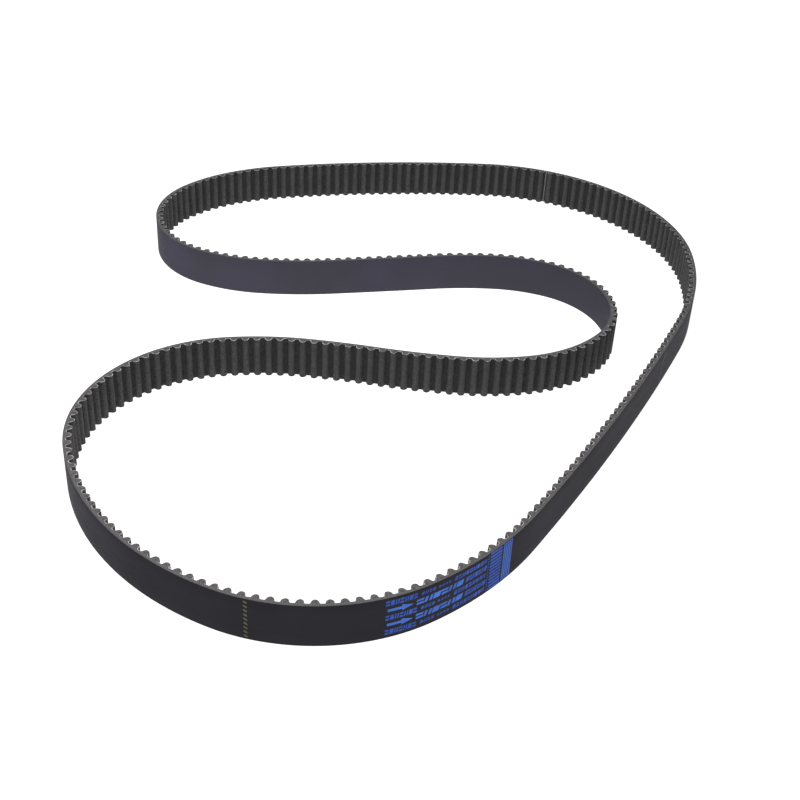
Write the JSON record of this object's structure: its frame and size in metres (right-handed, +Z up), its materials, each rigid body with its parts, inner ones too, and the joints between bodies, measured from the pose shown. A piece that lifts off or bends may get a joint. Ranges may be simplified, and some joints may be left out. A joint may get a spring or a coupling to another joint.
{
  "type": "timing belt",
  "caption": "Endless toothed timing belt with rounded teeth inside, cord reinforced, standing on edge in a loose C-shaped loop.",
  "frame": {"origin": "middle of the loop's outline on the floor, under the belt's lower cut edge", "axes": "+Z up across the belt's width, +Y along the loop's longer side, -X towards the opening between its two arms"},
  "size_m": [0.4322, 0.5818, 0.029],
  "materials": {
    "back_rubber": "matt moulded rubber with a soft sheen",
    "core_rubber": "cut rubber, dull grey",
    "glass_cord": "twisted glass fibre cord, dipped",
    "facing_fabric": "woven nylon, rubber filled, dark grey",
    "blue_ink": "thin flat blue printing ink",
    "khaki_ink": "thin flat olive printing ink",
    "grey_ink": "thin flat pale grey line"
  },
  "bodies": {
    "root": {"backing": "back_rubber", "edge_rubber": "core_rubber", "s_cord": "glass_cord", "z_cord": "glass_cord", "tooth_rubber": "core_rubber", "tooth_facing": "facing_fabric", "size_print": "blue_ink", "dashed_mark": "khaki_ink", "solid_mark": "grey_ink", "seam_line": "grey_ink"}
  },
  "joints": []
}
